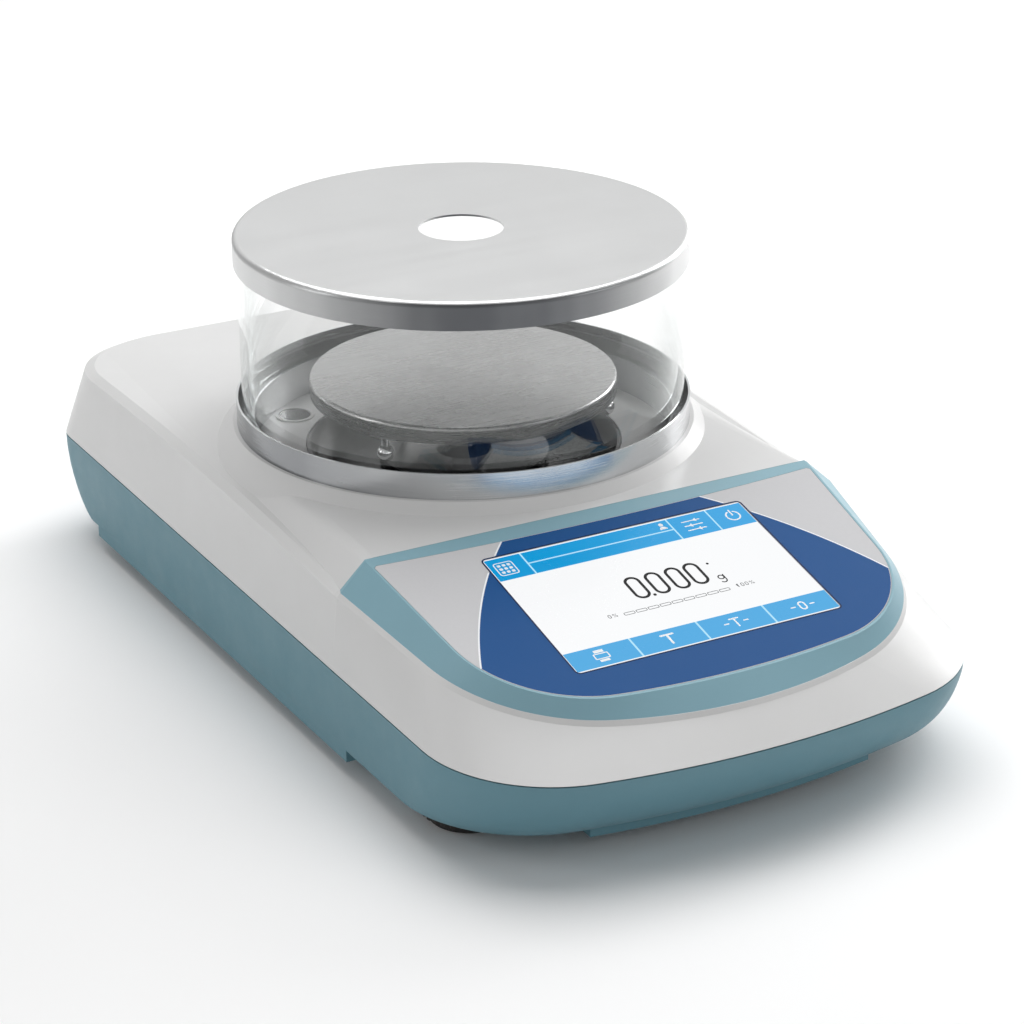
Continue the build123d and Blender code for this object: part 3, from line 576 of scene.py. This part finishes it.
window = rectangle(0, 0, WINDOW_W_MM, WINDOW_H_MM, WINDOW_CORNER_MM)
field_back = arc_through(mirrored([FIELD_TOP])[0], (0, FIELD_BACK), FIELD_TOP, 12)[1:-1]
behind, beside = outside_window(field_side(), 0)
window_front = rectangle(0, 0, WINDOW_W_MM, WINDOW_H_MM)[:2]
fields = [field_back + behind + mirrored(behind),
          beside[:-1] + label_foot(FIELD_FOOT_ANGLE) + mirrored(beside[:-1]) + window_front]
prisms("label_blue_field", [[field] for field in fields], on_panel, -0.01, LABEL_PRINT_MM, LABEL_BLUE, "base")
runs = outside_window(field_side(0.25), FRAME_MM)
edges = [stroke(points, 0.6) for run in runs for points in (run, mirrored(run))]
prisms("label_field_edges", [[edge] for edge in edges], on_panel, 0.0, LABEL_PRINT_MM + 0.02, LABEL_WHITE,
       "base")
frame_edge = rectangle(0, 0, WINDOW_W_MM + 2 * FRAME_MM, WINDOW_H_MM + 2 * FRAME_MM, WINDOW_CORNER_MM + 0.6)
prisms("label_window_frame", [[frame_edge, window]], on_panel, 0.0, LABEL_PRINT_MM + 0.03, LABEL_NAVY, "base")

# ================================================================ what the display shows
SCREEN_W_MM, SCREEN_H_MM = 107.4, 69.0
HEADER_MM, FOOTER_MM = 13.0, 10.6
HEADER_GAP_MM, FOOTER_GAP_MM = 0.7, 0.8
LIT, OVER, INK = -0.08, -0.06, -0.04     # heights of the lit layers, between the glass and the label plane
LEFT, RIGHT = -SCREEN_W_MM / 2, SCREEN_W_MM / 2
TOP, FOOT_EDGE = SCREEN_H_MM / 2, -SCREEN_H_MM / 2
header_y, footer_y = TOP - HEADER_MM / 2, FOOT_EDGE + FOOTER_MM / 2
HEADER_SPLITS, FOOTER_SPLITS = (-39.4, 22.0, 39.0), (-27.7, -0.3, 27.4)


def shown(name, shapes, height, material):
    """Part of the picture on the display."""
    return prisms(name, shapes, on_panel, height - 0.02, height, material, "base")


def bars(splits, y, height, gap):
    """Cells of one bar of the display, with a gap at each split."""
    ends = (LEFT - gap, *splits, RIGHT + gap)
    return [[rectangle((a + b) / 2, y, b - a - gap, height)] for a, b in zip(ends, ends[1:])]


shown("screen_header_lines", [[rectangle(0, header_y, SCREEN_W_MM, HEADER_MM)]], LIT, SCREEN_LINE)
shown("screen_footer_lines", [[rectangle(0, footer_y, SCREEN_W_MM, FOOTER_MM)]], LIT, SCREEN_LINE)
header_cells = bars(HEADER_SPLITS, header_y, HEADER_MM, HEADER_GAP_MM)
middle = HEADER_SPLITS[0], HEADER_SPLITS[1]
middle_x, middle_w = sum(middle) / 2, middle[1] - middle[0] - HEADER_GAP_MM
header_cells[1:2] = [
    [rectangle(middle_x, header_y + side * (HEADER_MM / 4 + 0.1), middle_w, HEADER_MM / 2 - 0.5)]
    for side in (1, -1)
]
shown("screen_header", header_cells, OVER, SCREEN_CYAN)
shown("screen_footer", bars(FOOTER_SPLITS, footer_y, FOOTER_MM, FOOTER_GAP_MM), OVER, SCREEN_BLUE)


def ring(x, y, width, height, thick, steps=10):
    """A rounded figure nought."""
    corner = width / 2 - 0.01
    inner = corner - thick
    hole = rectangle(x, y, width - 2 * thick, height - 2 * thick, inner, steps)
    return [rectangle(x, y, width, height, corner, steps), hole]


# reading 0.000 g with its stability mark
DIGIT_W, DIGIT_H, DIGIT_LINE = 6.4, 13.2, 1.15
reading = [ring(x, 1.2, DIGIT_W, DIGIT_H, DIGIT_LINE) for x in (-9.5, -1.1, 7.3, 15.1)]
reading.append([rectangle(-5.55, -4.7, 1.2, 1.3, 0.3)])
reading.append([disc(22.3, 5.0, 0.55)])
shown("screen_reading", reading, INK, SCREEN_INK)
unit = [
    [disc(22.7, -3.9, 1.35), disc(22.7, -3.9, 0.85)],
    [stroke([(24.0, -2.7), (24.0, -5.6)] + arc(22.7, -5.7, 1.3, 0, -140, 8), 0.5)],
]
shown("screen_unit", unit[:1], INK, SCREEN_INK)
shown("screen_unit_tail", unit[1:], INK + 0.005, SCREEN_INK)


def small_nought(x, y, size):
    return ring(x, y, size * 0.62, size, size * 0.13, 6)


def percent(x, y, size):
    """A percent sign as three shapes."""
    out, outer, inner = size * 0.28, size * 0.2, size * 0.1
    rounds = [
        [disc(x - side * out, y + side * out, radius, 14) for radius in (outer, inner)] for side in (1, -1)
    ]
    return rounds + [[stroke([(x + size * 0.3, y + size * 0.48), (x - size * 0.3, y - size * 0.48)], inner)]]


BAR_Y, BAR_HALF, BAR_CELLS = -11.1, 22.3, 9
pitch = 2 * BAR_HALF / BAR_CELLS
gauge = [
    [rectangle(-BAR_HALF + pitch * (i + 0.5), BAR_Y, pitch - 0.5, 1.6, 0.5),
     rectangle(-BAR_HALF + pitch * (i + 0.5), BAR_Y, pitch - 1.0, 1.1, 0.3)]
    for i in range(BAR_CELLS)
]
gauge += [small_nought(-27.6, -10.5, 2.0)] + percent(-25.4, -10.5, 1.9)
gauge += [[stroke([(25.3, -10.0), (25.9, -9.5), (25.9, -11.5)], 0.26)]]
gauge += [small_nought(27.7, -10.5, 2.0), small_nought(29.5, -10.5, 2.0)] + percent(31.7, -10.5, 1.9)
shown("screen_gauge", gauge, INK, SCREEN_GREY)

# icons of the header: keypad, user, sliders, power
SLIDERS_X, SLIDERS = 30.5, ((2.7, 1.8), (0.0, -1.2), (-2.7, 1.2))    # height of each line, and its knob's place
icons = [[rectangle(-48.3, header_y, 7.8, 7.8, 1.2), rectangle(-48.3, header_y, 6.9, 6.9, 0.8)]]
icons += [[rectangle(-48.3 + 2 * i, header_y + 2 * j, 1.3, 1.3, 0.3)] for i in (-1, 0, 1) for j in (-1, 0, 1)]
icons += [[disc(18.6, header_y + 4.1, 0.95)], [arc(18.6, header_y + 1.3, 1.6, 0, 180, 12)]]
icons += [
    [stroke([(SLIDERS_X - 3.7, header_y + line), (SLIDERS_X + 3.7, header_y + line)], 0.55)]
    for line, _ in SLIDERS
]
icon_knobs = [
    [[(SLIDERS_X + knob + x, header_y + line + y) for x, y in ((-0.9, 0.0), (0.6, -1.1), (0.6, 1.1))]]
    for line, knob in SLIDERS
]
icons.append([stroke(arc(47.6, header_y, 2.7, 115, 425, 32), 0.62)])
icons.append([stroke([(47.6, header_y + 3.6), (47.6, header_y + 0.4)], 0.62)])

# footer: printer, letter T, and the tare and zero keys' generic marks
icons += [
    [rectangle(-41.5, footer_y, 6.0, 3.2, 0.5), rectangle(-41.5, footer_y, 5.0, 2.2, 0.2)],
    [rectangle(-41.5, footer_y + 2.7, 3.8, 1.5)], [rectangle(-41.5, footer_y - 2.5, 3.8, 1.2)],
    [stroke([(-16.4, footer_y + 2.4), (-11.6, footer_y + 2.4)], 0.9)],
]
for x in (13.5, 41.5):
    icons += [[stroke([(x + side * 4.8, footer_y), (x + side * 3.2, footer_y)], 0.6)] for side in (-1, 1)]
icons.append([stroke([(11.7, footer_y + 2.2), (15.3, footer_y + 2.2)], 0.65)])
icons.append(ring(41.5, footer_y, 3.0, 4.8, 0.65, 8))
stems = [[stroke([(-14.0, footer_y + 2.0), (-14.0, footer_y - 2.6)], 0.9)],
         [stroke([(13.5, footer_y + 1.9), (13.5, footer_y - 2.3)], 0.65)]]
shown("screen_icon_stems", stems, INK + 0.004, LABEL_WHITE)
shown("screen_icons", icons, INK, LABEL_WHITE)
shown("screen_icon_knobs", icon_knobs, INK + 0.006, LABEL_WHITE)


# ================================================================ spirit level
vial = box_centre("level_vial")
vial_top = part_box("vial_lens")[1][2]
bubble_at = Vector((vial.x + 0.0006, vial.y - 0.0004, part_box("vial_lens")[0][2] - 0.0011))
BUBBLE_R, BUBBLE_H, BUBBLE_STEPS = 0.0023, 0.0010, 14
turns = [pi * i / BUBBLE_STEPS for i in range(BUBBLE_STEPS + 1)]
bubble_profile = [(BUBBLE_R * sin(turn), -BUBBLE_H * cos(turn)) for turn in turns]
AIR = clear("bubble_air", (1, 1, 1, 1), ior=0.72)
lathe("level_bubble", bubble_profile, bubble_at, AIR, "base", 48)
TARGET_R, TARGET_W, TARGET_H = 0.0031, 0.00025, 0.00003
target = [(TARGET_R, 0), (TARGET_R + TARGET_W, 0), (TARGET_R + TARGET_W, TARGET_H), (TARGET_R, TARGET_H)]
lathe("level_target", target, Vector((vial.x, vial.y, vial_top)), DARK, "base", 64)

# ================================================================ floor, light and camera
def stage_plane(name, size, height, material):
    """A square sheet of floor."""
    half = size / 2
    mesh = bpy.data.meshes.new(name)
    corners = [(x * half, y * half, height) for x, y in ((-1, -1), (1, -1), (1, 1), (-1, 1))]
    mesh.from_pydata(corners, [], [(0, 1, 2, 3)])
    mesh.materials.append(material)
    sheet = bpy.data.objects.new(name, mesh)
    bpy.context.scene.collection.objects.link(sheet)


def floor_finish():
    """Pale seamless paper with the faintest tooth."""
    finish = Finish("studio_paper", 0.7, Specular_IOR_Level=0.2)
    finish.colour(finish.blend(finish.noise(3, 3), (0.93, 0.93, 0.93, 1), (0.945, 0.945, 0.945, 1)))
    return finish.material


def softbox(name, place, target, width, height, power, colour=(1, 1, 1)):
    """A rectangular soft light that faces the target."""
    lamp = bpy.data.lights.new(name, "AREA")
    lamp.shape = "RECTANGLE"
    lamp.size, lamp.size_y = width, height
    lamp.energy = power
    lamp.color = colour
    holder = bpy.data.objects.new(name, lamp)
    bpy.context.scene.collection.objects.link(holder)
    holder.location = place
    holder.rotation_mode = "QUATERNION"
    holder.rotation_quaternion = (Vector(target) - Vector(place)).to_track_quat("-Z", "Y")
    return holder


def studio_world():
    """Even pale surroundings, brighter towards the horizon than overhead."""
    world = bpy.data.worlds.new("studio")
    world.use_nodes = True
    tree = world.node_tree
    place = tree.nodes.new("ShaderNodeTexCoord")
    split = tree.nodes.new("ShaderNodeSeparateXYZ")
    ramp = tree.nodes.new("ShaderNodeValToRGB")
    ramp.color_ramp.elements[0].position, ramp.color_ramp.elements[0].color = 0.0, (0.9, 0.9, 0.9, 1)
    ramp.color_ramp.elements[1].position, ramp.color_ramp.elements[1].color = 1.0, (0.4, 0.4, 0.4, 1)
    middle = ramp.color_ramp.elements.new(0.45)
    middle.color = (0.78, 0.78, 0.78, 1)
    tree.links.new(place.outputs["Generated"], split.inputs[0])
    tree.links.new(split.outputs[2], ramp.inputs[0])
    tree.links.new(ramp.outputs[0], tree.nodes["Background"].inputs["Color"])
    tree.nodes["Background"].inputs["Strength"].default_value = 0.6
    bpy.context.scene.world = world


studio_world()
stage_plane("studio_floor", 24, 0.0, floor_finish())
softbox("overhead", (0.25, 0.35, 1.5), (0, 0, 0.05), 1.7, 1.5, 19.5)
softbox("back_wall", (0.9, 2.6, 1.15), (0, 0, 0.1), 3.4, 1.5, 7)
softbox("front_right", (1.3, -1.5, 0.75), (0, -0.1, 0.05), 0.9, 0.7, 3)
softbox("right_window", (1.5, 0.5, 0.7), (0, 0, 0.1), 0.7, 1.0, 13)
softbox("left_window", (-1.6, 0.4, 0.7), (0, 0, 0.1), 0.35, 1.1, 3)

CAMERA_AZIMUTH, CAMERA_ELEVATION, CAMERA_ROLL = -28.887, 23.114, -0.415
CAMERA_PLACE, CAMERA_LENS = (-0.5373, -0.9887, 0.5330), 110.1
azimuth, elevation, roll = (radians(a) for a in (CAMERA_AZIMUTH, CAMERA_ELEVATION, CAMERA_ROLL))
back = Vector((sin(azimuth) * cos(elevation), -cos(azimuth) * cos(elevation), sin(elevation)))
level = Vector((cos(azimuth), sin(azimuth), 0))
upward = back.cross(level)
across = level * cos(roll) + upward * sin(roll)
camera_data = bpy.data.cameras.new("camera")
camera_data.lens, camera_data.sensor_width = CAMERA_LENS, 36
camera_data.shift_x, camera_data.shift_y = -0.00365, -0.0009
camera_data.clip_start, camera_data.clip_end = 0.02, 60
camera = bpy.data.objects.new("camera", camera_data)
bpy.context.scene.collection.objects.link(camera)
facing = Matrix((across, back.cross(across), back)).transposed().to_4x4()
camera.matrix_world = Matrix.Translation(CAMERA_PLACE) @ facing
bpy.context.scene.camera = camera
bpy.context.scene.view_settings.view_transform = "Standard"

bpy.context.view_layer.update()
